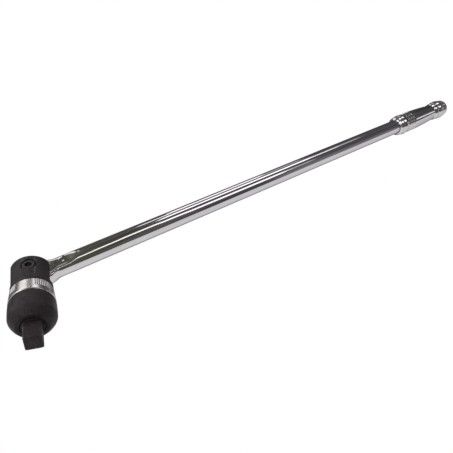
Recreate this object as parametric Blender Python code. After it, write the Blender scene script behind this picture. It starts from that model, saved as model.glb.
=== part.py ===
"""Flex-head ratcheting breaker bar, half-inch square drive.

A round steel bar ends in a flat tongue that is hinged in a clevis.  The clevis
carries a small ratchet: a toothed drive spindle, two pawls and a reversing ring
that lifts one pawl and frees the other.

Row frame, metres: origin at the centre of the square drive's end face, +X along
the bar towards the grip, +Z along the hinge screw, +Y away from the drive.

Each half of the tool is drawn in a frame of its own.  Both have their origin
where the bar's axis and the head's axis cross, and local +X along the hinge screw:
  head frame    local +Z runs down the head to the drive's end face
  handle frame  local +Z runs along the bar to the end of the grip
"""

from math import asin, cos, pi, radians, sin, sqrt, tan

import bmesh
import bpy
from mathutils import Euler, Matrix, Vector

MM = 0.001
GAP = 0.3 * MM            # room between neighbours that touch on the real tool
REACH = 30.0 * MM         # how far a through cutter runs past the part it cuts

# Overall
DRIVE_LENGTH = 64.0 * MM    # hinge to the drive's end face
HANDLE_LENGTH = 546.0 * MM  # hinge to the end of the grip
FLEX_REST = radians(112.0)  # angle between bar and drive as the tool lies

# Clevis
CLEVIS_R = 15.5 * MM
CLEVIS_TOP = -10.0 * MM
CROWN = 1.8 * MM
CLEVIS_END = 15.5 * MM
SLOT_HALF = 6.7 * MM
SLOT_FLOOR = 11.5 * MM
STEM_R = 13.4 * MM
STEM_END = 34.0 * MM

# Hinge screw
SCREW_HEAD_R = 5.3 * MM
COUNTERBORE_R = 5.6 * MM
COUNTERBORE_FLOOR = 12.2 * MM
SHANK_R = 4.0 * MM
THREAD_R = 3.4 * MM
HEX_FLATS = 5.0 * MM
HEX_DEPTH = 2.6 * MM

# Bar
BAR_R = 7.95 * MM
PADDLE_R = 10.5 * MM
PADDLE_END = 11.5 * MM
PADDLE_BLEND = 21.5 * MM
TONGUE_HALF = 5.6 * MM
FLAT_END = 27.0 * MM
RUNOUT_R = 22.0 * MM
BAR_END = 527.0 * MM

# Grip, by distance from the hinge
GRIP_START = 447.5 * MM
GRIP_END = 540.5 * MM
GRIP_BORE_R = 8.2 * MM
STEP_R = 9.6 * MM           # shoulder where the sleeve begins
COLLAR_AT = 449.6 * MM
COLLAR_R = 10.9 * MM
BEAD_AT = 455.6 * MM
BEAD_HALF = 2.8 * MM        # half of the main bead's flat top
BEAD_R = 11.55 * MM
BODY_FROM = 459.6 * MM
BODY_R = 11.2 * MM
BODY_GROOVES = (463.0 * MM, 4.6 * MM, 3)   # first, pitch, count
TAPER_FROM = 474.5 * MM
WAIST_AT = 516.0 * MM
WAIST_R = 9.0 * MM
FLARE_AT = 521.5 * MM
FLARE_R = 10.1 * MM
KNOB_AT = 530.5 * MM
KNOB_HALF = 2.2 * MM
KNOB_R = 10.9 * MM
KNOB_GROOVES = (535.4 * MM, 3.1 * MM, 2)
GROOVE_HALF = 1.1 * MM
GROOVE_DEPTH = 0.45 * MM
END_R = 9.5 * MM            # where the sleeve meets its end plug

# Reversing ring
RING_TOP = 15.8 * MM
RING_BOTTOM = 27.9 * MM
RING_TOP_R = 15.7 * MM
RING_BOTTOM_R = 17.0 * MM
RING_BORE_R = 13.7 * MM
RING_TRAVEL = radians(24.0)
KNURL_PADS = 3
KNURL_TEETH = 13            # in each pad
KNURL_DEPTH = 0.35 * MM
KNURL_END = 23.3 * MM       # the teeth run from the ring's top edge down to here
PAD_ANGLE = radians(70.0)
LAND_START = radians(-15.0)  # where the first smooth land begins
FINGER_IN = 11.0 * MM
FINGER_OUT = 13.3 * MM
FINGER_END = 41.5 * MM
FINGER_HALF = radians(9.0)

# Housing
HOUSING_TOP = 28.2 * MM
HOUSING_R = 17.25 * MM
BOWL_START = 40.8 * MM
HOUSING_END = 49.0 * MM
BOWL_END_R = 11.9 * MM
MOUTH_R = 13.7 * MM
CHAMBER_R = 14.5 * MM
CHAMBER_FLOOR = 45.2 * MM
NECK_HOLE_R = 10.1 * MM
LIP_R = 9.2 * MM            # lip that covers the seal
LIP_TOP = 48.45 * MM

# Snap ring grooves, cut in the stem and the housing
SNAP_TOP = 29.4 * MM
SNAP_END = 31.0 * MM
SNAP_IN = 12.4 * MM
SNAP_OUT = 14.6 * MM

# Ratchet
TEETH = 24
GEAR_TIP_R = 8.8 * MM
GEAR_ROOT_R = 7.6 * MM
GEAR_TOP = 35.0 * MM
FLANGE_TOP = 43.0 * MM
FLANGE_END = 44.2 * MM
FLANGE_R = 11.0 * MM
JOURNAL_R = 5.0 * MM
JOURNAL_TOP = 25.0 * MM
NECK_R = 8.4 * MM
NECK_END = 49.3 * MM
PAWL_TOP = 35.6 * MM
PAWL_END = 42.4 * MM
PAWL_PIN_R = 1.25 * MM
PAWL_PIN_AT = 11.4 * MM
PAWL_PIN_ANGLE = radians(38.0)
PAWL_LIFT = radians(11.0)
PAWL_BOSS_R = 2.2 * MM

# Square drive
SQUARE = 12.7 * MM
SQUARE_EDGE = 1.05 * MM     # chamfer along the four corners
SQUARE_LEAD = 0.8 * MM      # chamfer round the end face
SOCKET_BALL_R = 1.9 * MM
SOCKET_BALL_AT = 57.5 * MM
SOCKET_BALL_DEPTH = 5.5 * MM
SOCKET_SPRING_TOP = 3.0 * MM

# Ring detent
DETENT_BALL_R = 1.2 * MM
DETENT_AT = 22.0 * MM
DETENT_RADIUS = 12.75 * MM
DETENT_GROOVE_R = 14.1 * MM


# ---------------------------------------------------------------- materials

def finish(name, color, metallic, roughness):
    """A Principled material of one finish."""
    found = bpy.data.materials.get(name)
    if found:
        return found
    made = bpy.data.materials.new(name)
    made.use_nodes = True
    shader = made.node_tree.nodes["Principled BSDF"]
    shader.inputs["Base Color"].default_value = (*color, 1.0)
    shader.inputs["Metallic"].default_value = metallic
    shader.inputs["Roughness"].default_value = roughness
    return made


def chrome():
    return finish("chrome", (0.78, 0.78, 0.8), 1.0, 0.08)


def black_phosphate():
    return finish("black_phosphate", (0.035, 0.034, 0.037), 0.6, 0.5)


def bright_steel():
    return finish("bright_steel", (0.56, 0.57, 0.58), 1.0, 0.3)


def hardened_steel():
    return finish("hardened_steel", (0.22, 0.21, 0.2), 1.0, 0.35)


def spring_steel():
    return finish("spring_steel", (0.4, 0.4, 0.42), 1.0, 0.25)


def bronze():
    return finish("bronze", (0.6, 0.4, 0.18), 1.0, 0.35)


def black_rubber():
    return finish("black_rubber", (0.02, 0.02, 0.02), 0.0, 0.7)


# ---------------------------------------------------------------- tools

def clear_scene():
    for old in list(bpy.data.objects):
        bpy.data.objects.remove(old, do_unlink=True)


def frame_empty(name, location, rotation):
    empty = bpy.data.objects.new(name, None)
    bpy.context.scene.collection.objects.link(empty)
    empty.location = location
    empty.rotation_euler = rotation
    return empty


def place(name, data, material, parent, at=(0.0, 0.0, 0.0)):
    """Link an object whose mesh is drawn about its own origin, at a place in its frame."""
    data.materials.append(material)
    made = bpy.data.objects.new(name, data)
    bpy.context.scene.collection.objects.link(made)
    made.parent = parent
    made.location = at
    return made


def close_up(bm, name):
    """Merge doubles, turn the faces outward and hand over a smooth-shaded mesh."""
    bmesh.ops.remove_doubles(bm, verts=bm.verts, dist=0.001 * MM)
    bmesh.ops.recalc_face_normals(bm, faces=bm.faces)
    if bm.calc_volume(signed=True) < 0.0:
        bmesh.ops.reverse_faces(bm, faces=bm.faces)
    mesh = bpy.data.meshes.new(name)
    bm.to_mesh(mesh)
    bm.free()
    mesh.shade_smooth()
    mesh.set_sharp_from_angle(angle=radians(32.0))
    return mesh


def lathe_mesh(name, outline, sides=40, closed=False):
    """Turn an outline of (along, radius) points about local Z."""
    bm = bmesh.new()
    verts = [bm.verts.new((radius, 0.0, along)) for along, radius in outline]
    pairs = list(zip(verts, verts[1:]))
    if closed:
        pairs.append((verts[-1], verts[0]))
    edges = [bm.edges.new(pair) for pair in pairs]
    bmesh.ops.spin(
        bm, geom=verts + edges, cent=(0, 0, 0), axis=(0, 0, 1), angle=2.0 * pi, steps=sides, use_merge=True
    )
    return close_up(bm, name)


def prism_mesh(name, outline, low, high):
    """Extrude a flat outline of (x, y) points from low to high along local Z."""
    bm = bmesh.new()
    base = bm.faces.new([bm.verts.new((x, y, low)) for x, y in outline])
    top = bmesh.ops.extrude_face_region(bm, geom=[base])
    moved = [part for part in top["geom"] if isinstance(part, bmesh.types.BMVert)]
    bmesh.ops.translate(bm, verts=moved, vec=(0.0, 0.0, high - low))
    return close_up(bm, name)


def polar(radius, angle):
    return (radius * cos(angle), radius * sin(angle))


def sector(inner, outer, start, stop, steps=8):
    """Outline of a ring sector."""
    angles = [start + (stop - start) * step / steps for step in range(steps + 1)]
    out = [polar(outer, angle) for angle in angles]
    back = [polar(inner, angle) for angle in reversed(angles)]
    return out + back


def swept_mesh(name, loop, start, stop, steps=6):
    """Sweep a closed loop of (along, radius) points part of the way round local Z."""
    bm = bmesh.new()
    rows = []
    for step in range(steps + 1):
        angle = start + (stop - start) * step / steps
        rows.append([bm.verts.new((*polar(radius, angle), along)) for along, radius in loop])
    for row, after in zip(rows, rows[1:]):
        for here in range(len(loop)):
            follow = (here + 1) % len(loop)
            bm.faces.new((row[here], row[follow], after[follow], after[here]))
    bm.faces.new(rows[0])
    bm.faces.new(rows[-1])
    return close_up(bm, name)


def regular(flats, sides=6, turn=0.0):
    """Outline of a regular polygon by its width across flats."""
    corner = 0.5 * flats / cos(pi / sides)
    return [polar(corner, turn + 2.0 * pi * step / sides) for step in range(sides)]


def cutter(name, mesh, parent, at=(0.0, 0.0, 0.0), rotation=(0.0, 0.0, 0.0)):
    """A tool body that is subtracted or added and doesn't count as a piece."""
    tool = place(name, mesh, finish("tool", (0.5, 0.5, 0.5), 0.0, 0.5), parent, at)
    tool.rotation_euler = rotation
    tool.hide_render = True
    tool.display_type = "WIRE"
    return tool


def combine(target, tool, operation="DIFFERENCE"):
    step = target.modifiers.new(tool.name, "BOOLEAN")
    step.operation = operation
    step.solver = "EXACT"
    step.object = tool
    return target


def drill(target, name, radius, start, stop, at=(0.0, 0.0), across=False, sides=24):
    """Bore a hole along local Z, or along local X where across is set."""
    mesh = lathe_mesh(name, [(start, 0.0), (start, radius), (stop, radius), (stop, 0.0)], sides)
    if across:
        tool = cutter(name, mesh, target.parent, (0.0, 0.0, at[0]), (0.0, 0.5 * pi, 0.0))
    else:
        tool = cutter(name, mesh, target.parent, (at[0], at[1], 0.0))
    return combine(target, tool)


def coil(name, material, parent, radius, wire, start, stop, turns, at, rotation):
    """A round-wire spring along its own Z, with ends closed by flat caps."""
    per_turn = 12
    curve = bpy.data.curves.new(name, "CURVE")
    curve.dimensions = "3D"
    curve.bevel_depth = wire
    curve.bevel_resolution = 1
    curve.use_fill_caps = True
    count = turns * per_turn + 1
    spline = curve.splines.new("POLY")
    spline.points.add(count - 1)
    low = start + wire
    high = stop - wire
    for step in range(count):
        x, y = polar(radius, 2.0 * pi * step / per_turn)
        spline.points[step].co = (x, y, low + (high - low) * step / (count - 1), 1.0)
    made = place(name, curve, material, parent, at)
    made.rotation_euler = rotation
    return made


# ---------------------------------------------------------------- handle

def bar_outline():
    """Ball end, paddle, blend and shaft, turned about the bar's axis."""
    ball = [(-PADDLE_R * cos(radians(step)), PADDLE_R * sin(radians(step))) for step in range(0, 91, 15)]
    blend = []
    for step in range(7):
        part = step / 6.0
        ease = 0.5 - 0.5 * cos(pi * part)
        along = PADDLE_END + (PADDLE_BLEND - PADDLE_END) * part
        blend.append((along, PADDLE_R + (BAR_R - PADDLE_R) * ease))
    edge = 1.0 * MM
    end = [(BAR_END - edge, BAR_R), (BAR_END, BAR_R - edge), (BAR_END, 0.0)]
    return ball + blend + end


def flat_cutter_mesh(name, side):
    """What is milled off one face of the tongue: a flat with a curved run-out."""
    rise = BAR_R + 0.6 * MM - TONGUE_HALF
    sweep = sqrt(2.0 * RUNOUT_R * rise - rise * rise)
    points = [(side * (PADDLE_R + REACH), -PADDLE_R - REACH), (side * TONGUE_HALF, -PADDLE_R - REACH)]
    for step in range(7):
        part = step / 6.0
        along = FLAT_END + sweep * part
        lift = RUNOUT_R - sqrt(RUNOUT_R ** 2 - (sweep * part) ** 2)
        points.append((side * (TONGUE_HALF + lift), along))
    points.append((side * (PADDLE_R + REACH), FLAT_END + sweep))
    return prism_mesh(name, points, -REACH, REACH)


def handle_bar(frame):
    bar = place("handle_bar", lathe_mesh("handle_bar", bar_outline(), 32), chrome(), frame)
    # The cutter's outline lies in local X-Z, so its prism is turned to run along local Y.
    for side, word in ((1, "upper"), (-1, "lower")):
        name = "cut_tongue_" + word
        tool = cutter(name, flat_cutter_mesh(name, side), frame, rotation=(0.5 * pi, 0.0, 0.0))
        combine(bar, tool)
    drill(bar, "cut_tongue_bore", SHANK_R + 0.25 * MM, -REACH, REACH, across=True)
    return bar


def grooves(first, pitch, count, surface):
    """Evenly spaced V grooves turned into a surface, a function of the distance along."""
    points = []
    for number in range(count):
        middle = first + number * pitch
        points.append((middle - GROOVE_HALF, surface(middle - GROOVE_HALF)))
        points.append((middle, surface(middle) - GROOVE_DEPTH))
        points.append((middle + GROOVE_HALF, surface(middle + GROOVE_HALF)))
    return points


def grip_outline():
    """Collar, main bead, grooved body, a taper to the waist, a flare and a grooved knob."""
    points = [(GRIP_START, GRIP_BORE_R), (GRIP_START, STEP_R)]
    points += [(COLLAR_AT - 2.0 * MM, COLLAR_R - 0.4 * MM), (COLLAR_AT, COLLAR_R)]
    points += [(COLLAR_AT + 2.0 * MM, COLLAR_R - 0.4 * MM), (COLLAR_AT + 3.0 * MM, COLLAR_R - 0.7 * MM)]
    points += [(BEAD_AT - BEAD_HALF, BEAD_R - 0.4 * MM), (BEAD_AT - BEAD_HALF + 1.5 * MM, BEAD_R)]
    points += [(BEAD_AT + BEAD_HALF - 1.5 * MM, BEAD_R), (BEAD_AT + BEAD_HALF, BEAD_R - 0.2 * MM)]
    points += [(BODY_FROM, BODY_R)]
    points += grooves(*BODY_GROOVES, lambda along: BODY_R)
    steps = 8
    for step in range(steps + 1):
        part = step / steps
        points.append((TAPER_FROM + (WAIST_AT - TAPER_FROM) * part, BODY_R - (BODY_R - WAIST_R) * part ** 1.7))
    points += [(WAIST_AT + 2.5 * MM, WAIST_R + 0.2 * MM), (FLARE_AT - 1.0 * MM, FLARE_R), (FLARE_AT + 1.2 * MM, FLARE_R)]
    points += [(FLARE_AT + 2.8 * MM, FLARE_R - 0.4 * MM), (KNOB_AT - KNOB_HALF - 2.0 * MM, KNOB_R - 0.3 * MM)]
    points += [(KNOB_AT - KNOB_HALF, KNOB_R), (KNOB_AT + KNOB_HALF, KNOB_R - 0.1 * MM)]
    fall = (KNOB_R - 0.1 * MM - END_R) / (GRIP_END - KNOB_AT - KNOB_HALF)
    points += grooves(*KNOB_GROOVES, lambda along: KNOB_R - 0.1 * MM - fall * (along - KNOB_AT - KNOB_HALF))
    points += [(GRIP_END, END_R), (GRIP_END, GRIP_BORE_R)]
    return points


def grip_sleeve(frame):
    mesh = lathe_mesh("grip_sleeve", grip_outline(), 32, closed=True)
    return place("grip_sleeve", mesh, chrome(), frame)


def grip_end_plug(frame):
    """Domed cap whose spigot is pressed into the sleeve's open end."""
    spigot = GRIP_BORE_R - 0.2 * MM
    rim = GRIP_END + 0.2 * MM
    depth = HANDLE_LENGTH - rim
    points = [(BAR_END + 2.0 * MM, 0.0), (BAR_END + 2.0 * MM, spigot), (rim, spigot)]
    for step in range(6):
        angle = radians(90.0 * step / 5.0)
        points.append((rim + depth * sin(angle), END_R * cos(angle) ** 0.8))
    points[-1] = (HANDLE_LENGTH, 0.0)
    return place("grip_end_plug", lathe_mesh("grip_end_plug", points, 32), chrome(), frame)


# ---------------------------------------------------------------- hinge

def clevis_outline():
    points = [(CLEVIS_TOP, 0.0), (CLEVIS_TOP, CLEVIS_R - CROWN)]
    for step in (1, 2, 3):
        angle = radians(30.0 * step)
        points.append((CLEVIS_TOP + CROWN * (1.0 - cos(angle)), CLEVIS_R - CROWN * (1.0 - sin(angle))))
    points += [(CLEVIS_END, CLEVIS_R), (CLEVIS_END, STEM_R), (SNAP_TOP, STEM_R), (SNAP_TOP, SNAP_IN)]
    points += [(SNAP_END, SNAP_IN), (SNAP_END, STEM_R), (STEM_END, STEM_R), (STEM_END, 0.0)]
    return points


def clevis_body(frame):
    """Forked top with the hinge slot, and the stem that the ring and housing sit on."""
    body = place("clevis_body", lathe_mesh("clevis_body", clevis_outline(), 40), black_phosphate(), frame)
    slot = [(-SLOT_HALF, -REACH), (SLOT_HALF, -REACH), (SLOT_HALF, REACH), (-SLOT_HALF, REACH)]
    combine(body, cutter("cut_slot", prism_mesh("cut_slot", slot, CLEVIS_TOP - REACH, SLOT_FLOOR), frame))
    drill(body, "cut_counterbore", COUNTERBORE_R, COUNTERBORE_FLOOR, REACH, across=True, sides=32)
    drill(body, "cut_shank_hole", SHANK_R + 0.2 * MM, 0.0, COUNTERBORE_FLOOR + MM, across=True)
    drill(body, "cut_thread_hole", THREAD_R + 0.2 * MM, -REACH, 0.0, across=True)
    drill(body, "cut_journal_bore", JOURNAL_R + 0.2 * MM, JOURNAL_TOP - 0.4 * MM, REACH + STEM_END)
    half = 0.5 * RING_TRAVEL + FINGER_HALF + radians(1.5)
    groove = sector(FINGER_IN - 0.3 * MM, CLEVIS_R, -half, half)
    combine(body, cutter("cut_finger_way", prism_mesh("cut_finger_way", groove, 19.0 * MM, STEM_END + MM), frame))
    for sign, word in ((1, "forward"), (-1, "reverse")):
        x, y = polar(PAWL_PIN_AT, sign * PAWL_PIN_ANGLE)
        drill(body, "cut_pin_hole_" + word, PAWL_PIN_R + 0.2 * MM, 31.4 * MM, STEM_END + MM, (x, y), sides=12)
    hole = DETENT_BALL_R + 0.15 * MM
    drill(body, "cut_detent_hole", hole, -STEM_R - MM, -8.0 * MM, (DETENT_AT, 0.0), across=True, sides=16)
    return body


def pivot_screw(frame):
    """Shouldered socket screw that is the hinge pin, threaded into the far ear."""
    head_low = COUNTERBORE_FLOOR + 0.15 * MM
    head_high = 15.1 * MM
    edge = 0.4 * MM
    chamfer = 1.0 * MM
    shank_low = -6.55 * MM
    points = [(-14.9 * MM, 0.0), (-14.9 * MM, THREAD_R - edge), (-14.5 * MM, THREAD_R), (shank_low, THREAD_R)]
    points += [(shank_low, SHANK_R), (head_low, SHANK_R), (head_low, SCREW_HEAD_R)]
    points += [(head_high - chamfer, SCREW_HEAD_R), (head_high, SCREW_HEAD_R - chamfer), (head_high, 0.0)]
    screw = place("pivot_screw", lathe_mesh("pivot_screw", points, 32), black_phosphate(), frame)
    screw.rotation_euler = (0.0, 0.5 * pi, 0.0)
    key = prism_mesh("cut_hex", regular(HEX_FLATS), head_high - HEX_DEPTH, head_high + MM)
    return combine(screw, cutter("cut_hex", key, frame, rotation=(0.0, 0.5 * pi, 0.0)))


def ring_plate_mesh(name, inner, outer, low, thick, wave=0.0, sides=36):
    """A washer about local Z; wave lifts it in three crests."""
    bm = bmesh.new()
    rows = []
    for step in range(sides):
        angle = 2.0 * pi * step / sides
        lift = wave * cos(3.0 * angle)
        corners = ((inner, low), (outer, low), (outer, low + thick), (inner, low + thick))
        rows.append([bm.verts.new((*polar(radius, angle), height + lift)) for radius, height in corners])
    for row, after in zip(rows, rows[1:] + rows[:1]):
        for corner in range(4):
            follow = (corner + 1) % 4
            bm.faces.new((row[corner], row[follow], after[follow], after[corner]))
    return close_up(bm, name)


def hinge_washers(frame):
    """A wave washer above the tongue gives the hinge its drag; a flat one lies below."""
    bore = SHANK_R + 0.3 * MM
    side = 9.0 * MM
    wave = ring_plate_mesh("hinge_wave_washer", bore, side, 5.97 * MM, 0.36 * MM, 0.14 * MM)
    flat = ring_plate_mesh("hinge_flat_washer", bore, side, -6.45 * MM, 0.6 * MM)
    for mesh, finish_of in ((wave, spring_steel()), (flat, bright_steel())):
        washer = place(mesh.name, mesh, finish_of, frame)
        washer.rotation_euler = (0.0, 0.5 * pi, 0.0)


# ---------------------------------------------------------------- reversing ring

def knurl_angles():
    """Angles round the ring, each with the share of the knurl's depth there.

    Knurled pads alternate with smooth lands."""
    around = []
    period = 2.0 * pi / KNURL_PADS
    land = period - PAD_ANGLE
    tooth = PAD_ANGLE / KNURL_TEETH
    plain_steps = 9
    for number in range(KNURL_PADS):
        base = LAND_START + number * period
        around += [(base + land * step / plain_steps, 0.0) for step in range(plain_steps)]
        for step in range(KNURL_TEETH):
            start = base + land + step * tooth
            around += [(start, 0.0), (start + 0.3 * tooth, 0.0), (start + 0.65 * tooth, 1.0)]
    return around


def reversing_ring_mesh():
    slope = (RING_BOTTOM_R - RING_TOP_R) / (RING_BOTTOM - RING_TOP)

    def outside(along):
        return RING_TOP_R + slope * (along - RING_TOP)

    edge = 0.5 * MM
    loop = [(RING_TOP, RING_BORE_R, 0.0), (RING_TOP, outside(RING_TOP) - edge, 0.0)]
    loop += [(RING_TOP + edge, outside(RING_TOP + edge), 1.0)]
    loop += [(KNURL_END - 0.5 * MM, outside(KNURL_END - 0.5 * MM), 1.0), (KNURL_END, outside(KNURL_END), 0.0)]
    loop += [(RING_BOTTOM - edge, outside(RING_BOTTOM - edge), 0.0), (RING_BOTTOM, outside(RING_BOTTOM) - edge, 0.0)]
    loop += [(RING_BOTTOM, RING_BORE_R, 0.0)]
    bm = bmesh.new()
    rows = []
    for angle, share in knurl_angles():
        row = []
        for along, radius, cut in loop:
            size = radius - KNURL_DEPTH * share * cut
            row.append(bm.verts.new((*polar(size, angle), along)))
        rows.append(row)
    for row, after in zip(rows, rows[1:] + rows[:1]):
        for here in range(len(loop)):
            follow = (here + 1) % len(loop)
            bm.faces.new((row[here], row[follow], after[follow], after[here]))
    return close_up(bm, "reversing_ring")


def reversing_ring(frame):
    """Knurled ring with a finger that reaches down to the pawls' tails."""
    ring = place("reversing_ring", reversing_ring_mesh(), chrome(), frame)
    rest = -0.5 * RING_TRAVEL
    low, high = rest - FINGER_HALF, rest + FINGER_HALF
    root_top, root_end, root_r = 20.0 * MM, 27.0 * MM, 14.4 * MM
    loop = [(root_top, FINGER_IN), (root_top, root_r), (root_end, root_r), (root_end, FINGER_OUT)]
    loop += [(FINGER_END, FINGER_OUT), (FINGER_END, FINGER_IN)]
    combine(ring, cutter("add_finger", swept_mesh("add_finger", loop, low, high), frame), "UNION")
    way = sector(RING_BORE_R - MM, DETENT_GROOVE_R, pi - RING_TRAVEL, pi, 6)
    half = DETENT_BALL_R + 0.2 * MM
    combine(ring, cutter("cut_detent_way", prism_mesh("cut_detent_way", way, DETENT_AT - half, DETENT_AT + half), frame))
    for turn, word in ((0.0, "forward"), (RING_TRAVEL, "reverse")):
        name = "cut_detent_" + word
        seat = lathe_mesh(name, [(13.0 * MM, 0.0), (13.0 * MM, 1.55 * MM), (14.75 * MM, 1.0 * MM), (14.75 * MM, 0.0)], 12)
        tool = cutter(name, seat, frame, (0.0, 0.0, DETENT_AT), (0.0, 0.5 * pi, pi - turn))
        combine(ring, tool)
    return ring


def ball(name, radius, material, parent, at):
    bm = bmesh.new()
    bmesh.ops.create_uvsphere(bm, u_segments=16, v_segments=8, radius=radius)
    return place(name, close_up(bm, name), material, parent, at)


def ring_detent(frame):
    ball("ring_detent_ball", DETENT_BALL_R, bright_steel(), frame, (-DETENT_RADIUS, 0.0, DETENT_AT))
    outer = DETENT_RADIUS - DETENT_BALL_R - 0.1 * MM
    coil(
        "ring_detent_spring", spring_steel(), frame, 0.85 * MM, 0.2 * MM,
        -outer, -8.2 * MM, 4, (0.0, 0.0, DETENT_AT), (0.0, 0.5 * pi, 0.0),
    )


# ---------------------------------------------------------------- housing

def bowl_radius(along):
    """Outer radius of the bowl: it turns in at an edge and closes to its flat end."""
    part = (along - BOWL_START) / (HOUSING_END - BOWL_START)
    return BOWL_END_R + (HOUSING_R - BOWL_END_R) * (1.0 - part ** 1.55) ** 0.9


def housing_outline():
    lip = 0.4 * MM
    points = [(HOUSING_TOP, MOUTH_R), (HOUSING_TOP, 16.75 * MM - lip), (HOUSING_TOP + lip, 16.75 * MM)]
    points += [(31.5 * MM, 17.1 * MM), (36.0 * MM, HOUSING_R), (BOWL_START, HOUSING_R)]
    for step in range(1, 9):
        along = BOWL_START + (HOUSING_END - BOWL_START) * step / 8.0
        points.append((along, bowl_radius(along)))
    points += [(HOUSING_END, LIP_R), (LIP_TOP, LIP_R), (LIP_TOP, NECK_HOLE_R)]
    points += [(CHAMBER_FLOOR, NECK_HOLE_R), (CHAMBER_FLOOR, 12.4 * MM)]
    points += [(42.6 * MM, CHAMBER_R), (31.9 * MM, CHAMBER_R), (31.9 * MM, MOUTH_R)]
    points += [(SNAP_END, MOUTH_R), (SNAP_END, SNAP_OUT), (SNAP_TOP, SNAP_OUT), (SNAP_TOP, MOUTH_R)]
    return points


def lower_housing(frame):
    mesh = lathe_mesh("lower_housing", housing_outline(), 40, closed=True)
    return place("lower_housing", mesh, black_phosphate(), frame)


def housing_snap_ring(frame):
    """Open wire ring in the two facing grooves; its gap clears the ring's finger."""
    half = radians(32.0)
    outline = sector(SNAP_IN + 0.25 * MM, SNAP_OUT - GAP, half, 2.0 * pi - half, 28)
    mesh = prism_mesh("housing_snap_ring", outline, SNAP_TOP + GAP, SNAP_END - GAP)
    return place("housing_snap_ring", mesh, spring_steel(), frame)


# ---------------------------------------------------------------- ratchet

def gear_outline():
    """Straight-sided teeth, with a valley on every fifteenth degree."""
    pitch = 2.0 * pi / TEETH
    tip = radians(2.0)
    root = radians(4.9)
    points = []
    for tooth in range(TEETH):
        middle = (tooth + 0.5) * pitch
        points += [polar(GEAR_ROOT_R, middle - root), polar(GEAR_TIP_R, middle - tip)]
        points += [polar(GEAR_TIP_R, middle + tip), polar(GEAR_ROOT_R, middle + root)]
    return points


def square_mesh(name):
    """Drive square with chamfered corners and a lead-in at the end face."""
    half = 0.5 * SQUARE
    cut = half - SQUARE_EDGE
    outline = [(half, -cut), (half, cut), (cut, half), (-cut, half), (-half, cut), (-half, -cut), (-cut, -half), (cut, -half)]
    bm = bmesh.new()
    base = bm.faces.new([bm.verts.new((x, y, NECK_END - 1.5 * MM)) for x, y in outline])
    grown = bmesh.ops.extrude_face_region(bm, geom=[base])
    moved = [part for part in grown["geom"] if isinstance(part, bmesh.types.BMVert)]
    bmesh.ops.translate(bm, verts=moved, vec=(0.0, 0.0, DRIVE_LENGTH - SQUARE_LEAD - NECK_END + 1.5 * MM))
    front = [part for part in grown["geom"] if isinstance(part, bmesh.types.BMFace)]
    lead = bmesh.ops.extrude_face_region(bm, geom=front)
    ends = [part for part in lead["geom"] if isinstance(part, bmesh.types.BMVert)]
    bmesh.ops.translate(bm, verts=ends, vec=(0.0, 0.0, SQUARE_LEAD))
    shrink = (half - SQUARE_LEAD) / half
    bmesh.ops.scale(bm, verts=ends, vec=(shrink, shrink, 1.0))
    bmesh.ops.delete(bm, geom=front, context="FACES_ONLY")
    return close_up(bm, name)


def drive_spindle(frame):
    """Journal, gear, thrust flange, neck and drive square in one forging."""
    points = [(JOURNAL_TOP, 0.0), (JOURNAL_TOP, JOURNAL_R), (GEAR_TOP + MM, JOURNAL_R), (GEAR_TOP + MM, 6.5 * MM)]
    points += [(FLANGE_TOP, 6.5 * MM), (FLANGE_TOP, FLANGE_R), (FLANGE_END, FLANGE_R), (FLANGE_END, NECK_R)]
    points += [(NECK_END, NECK_R), (NECK_END, 0.0)]
    spindle = place("drive_spindle", lathe_mesh("drive_spindle", points, 32), black_phosphate(), frame)
    gear = prism_mesh("add_gear", gear_outline(), GEAR_TOP, FLANGE_TOP + 0.5 * MM)
    combine(spindle, cutter("add_gear", gear, frame), "UNION")
    combine(spindle, cutter("add_square", square_mesh("add_square"), frame), "UNION")
    hole = SOCKET_BALL_R + 0.15 * MM
    drill(spindle, "cut_ball_hole", hole, -0.5 * SQUARE - MM, -0.4 * MM, (SOCKET_BALL_AT, 0.0), across=True, sides=16)
    return spindle


def socket_detent(frame):
    """Sprung ball on the lower side of the square that holds a socket on.

    The spring is as short as the fully pressed ball leaves it."""
    ball("socket_ball", SOCKET_BALL_R, bright_steel(), frame, (-SOCKET_BALL_DEPTH, 0.0, SOCKET_BALL_AT))
    coil(
        "socket_ball_spring", spring_steel(), frame, 1.4 * MM, 0.2 * MM,
        -SOCKET_SPRING_TOP, -0.6 * MM, 3, (0.0, 0.0, SOCKET_BALL_AT), (0.0, 0.5 * pi, 0.0),
    )


def pawl_points(pin):
    """Outline of the forward pawl in mesh, about its pin.

    The tail is drawn where the ring's finger holds it down, then swung out to
    where it stands while the nose is in mesh."""
    lifted = Matrix.Rotation(PAWL_LIFT, 2)
    tail_in, tail_out = 9.3 * MM, 10.45 * MM
    nose_in, nose_tip = 9.2 * MM, 8.0 * MM

    def held(radius, degrees):
        return lifted @ (Vector(polar(radius, radians(degrees))) - pin)

    def meshed(radius, degrees):
        return Vector(polar(radius, radians(degrees))) - pin

    def boss(degrees):
        return Vector(polar(PAWL_BOSS_R, PAWL_PIN_ANGLE + radians(degrees)))

    points = [held(tail_in, 23.0), held(tail_in, 14.0), held(tail_out, 14.0), held(tail_out, 22.0)]
    points += [boss(-60.0), boss(-30.0), boss(0.0), boss(30.0)]
    points += [meshed(12.7 * MM, 56.0), meshed(12.3 * MM, 72.0), meshed(11.9 * MM, 88.0), meshed(11.2 * MM, 96.5)]
    points += [meshed(nose_in + 0.3 * MM, 97.5), meshed(nose_in, 94.6)]
    points += [meshed(nose_tip, 91.3), meshed(nose_tip, 88.7), meshed(nose_in, 85.4)]
    points += [meshed(nose_in, 79.6), meshed(nose_tip, 76.3), meshed(nose_tip, 73.7), meshed(nose_in, 70.4)]
    points += [meshed(nose_in, 62.0), meshed(nose_in, 52.0), boss(160.0), boss(180.0), boss(200.0)]
    return points


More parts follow.
